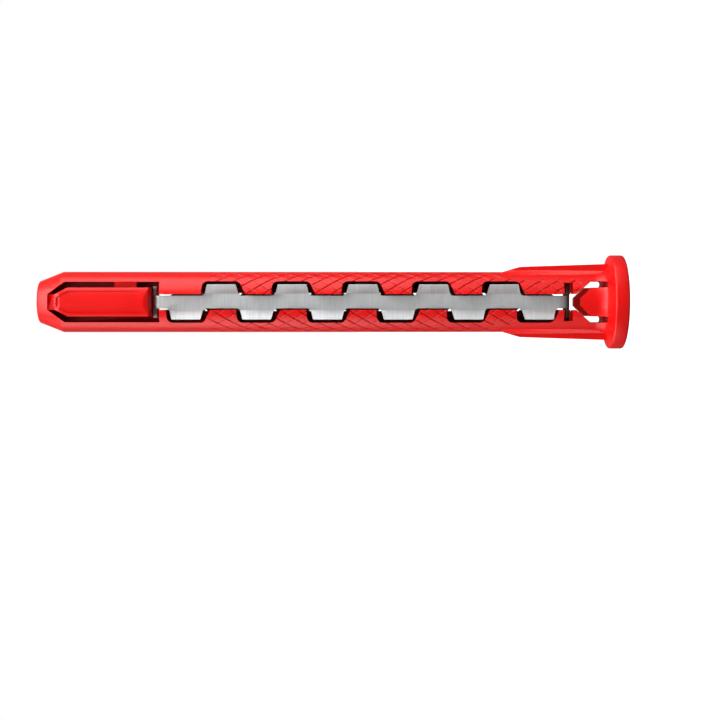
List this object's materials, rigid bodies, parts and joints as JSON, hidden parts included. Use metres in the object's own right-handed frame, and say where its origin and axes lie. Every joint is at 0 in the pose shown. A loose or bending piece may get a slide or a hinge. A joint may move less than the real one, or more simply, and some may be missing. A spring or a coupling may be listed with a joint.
{
  "type": "frame-fixing wall plug",
  "caption": "Long nylon wall plug with a flat collar, ribbed neck and bevelled tip, with a winding slot on each face that holds a tabbed steel strip.",
  "frame": {"origin": "centre of the outer face of the head, which the plug stands on", "axes": "+Z along the axis of the plug from the head to the tip, -Y towards the face shown in the picture, the two rails at +X and -X"},
  "size_m": [0.0156, 0.0156, 0.097],
  "materials": {
    "red_nylon": "moulded, half gloss",
    "strip_steel": "rolled, fine lines across the strip"
  },
  "bodies": {
    "root": {"nylon_sleeve": "red_nylon", "front_strip": "strip_steel", "rear_strip": "strip_steel"}
  },
  "joints": []
}
